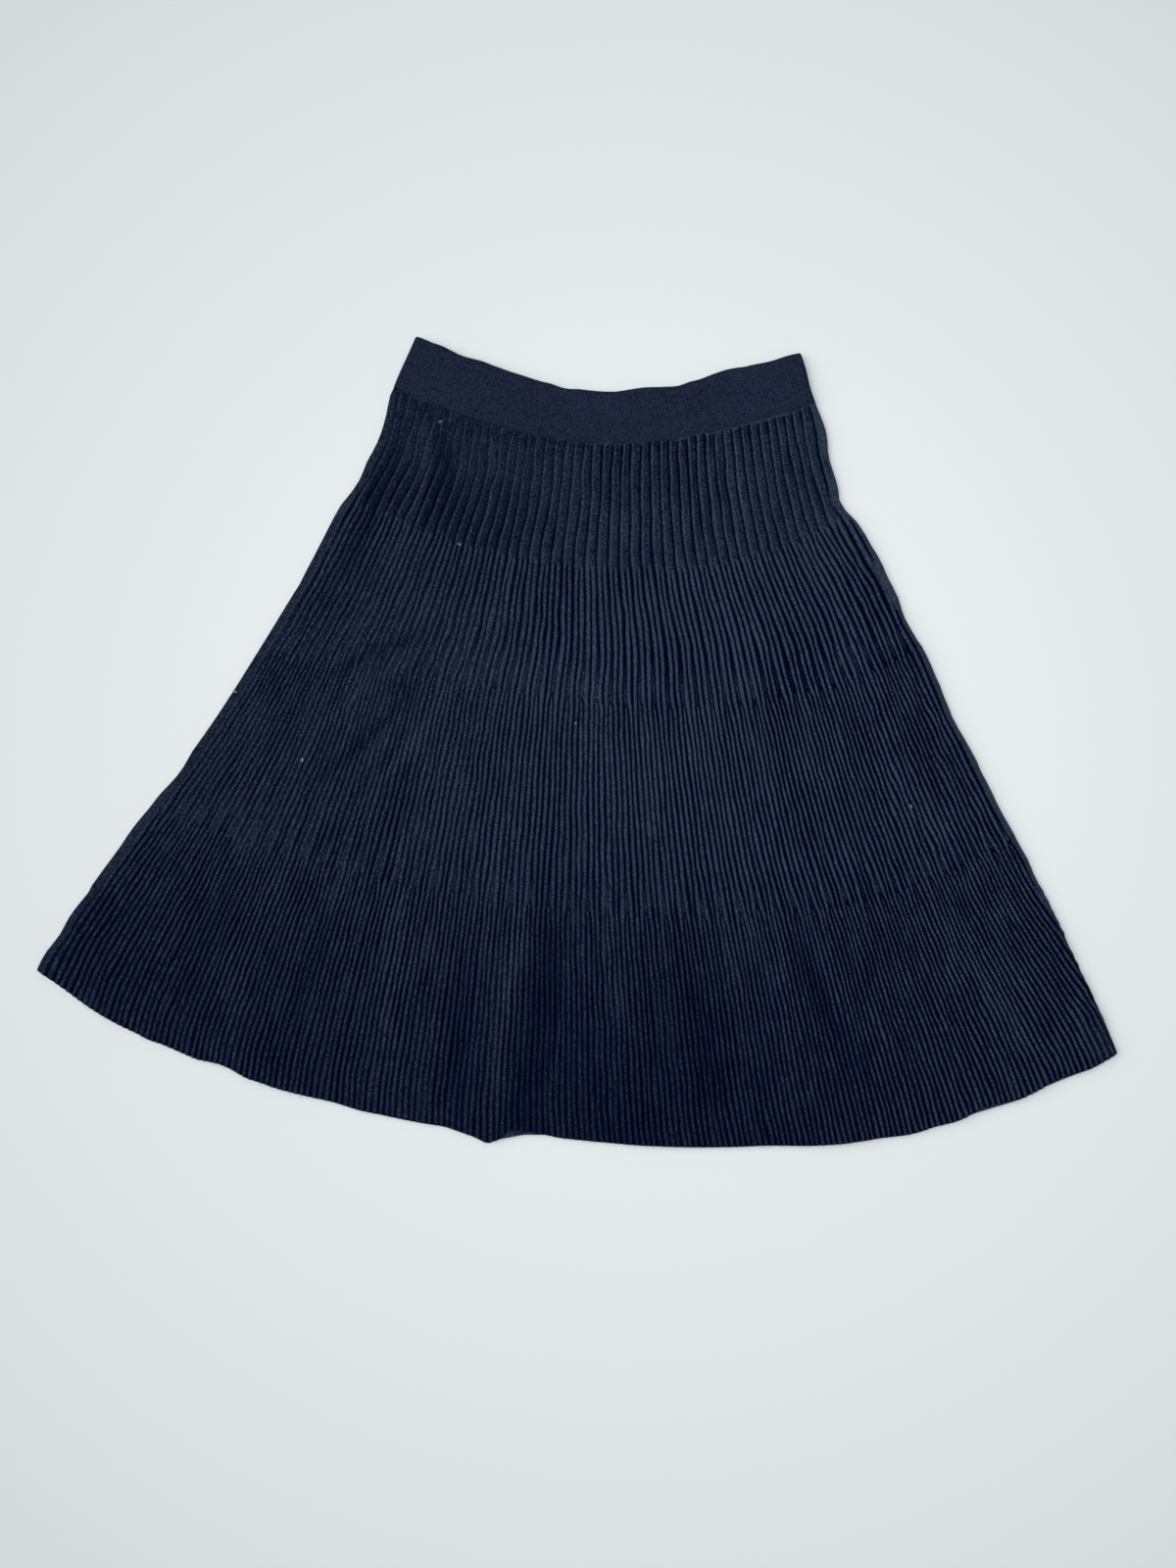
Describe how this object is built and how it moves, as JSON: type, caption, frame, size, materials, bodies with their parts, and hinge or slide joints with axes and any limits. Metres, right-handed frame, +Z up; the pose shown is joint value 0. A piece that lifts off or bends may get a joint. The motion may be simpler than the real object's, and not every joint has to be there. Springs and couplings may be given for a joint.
{
  "type": "a-line skirt",
  "caption": "Flared A-line skirt in fine rib knit with a plain knitted waistband, laid flat with its back panel down and its ribs fanning from the waist to a curved hem.",
  "frame": {"origin": "on the surface that the skirt lies on, under the middle of its outline", "axes": "+Z up from the surface, +Y along the skirt towards the waist, +X to the right across the skirt as seen from above"},
  "size_m": [0.577, 0.4329, 0.006],
  "materials": {
    "front_rib_knit": "matte rib knit, very dark navy",
    "back_rib_knit": "matte rib knit, very dark navy",
    "band_fine_knit": "matte fine knit, dark navy"
  },
  "bodies": {
    "root": {"front_panel": "front_rib_knit", "back_panel": "back_rib_knit", "waistband": "band_fine_knit"}
  },
  "joints": []
}
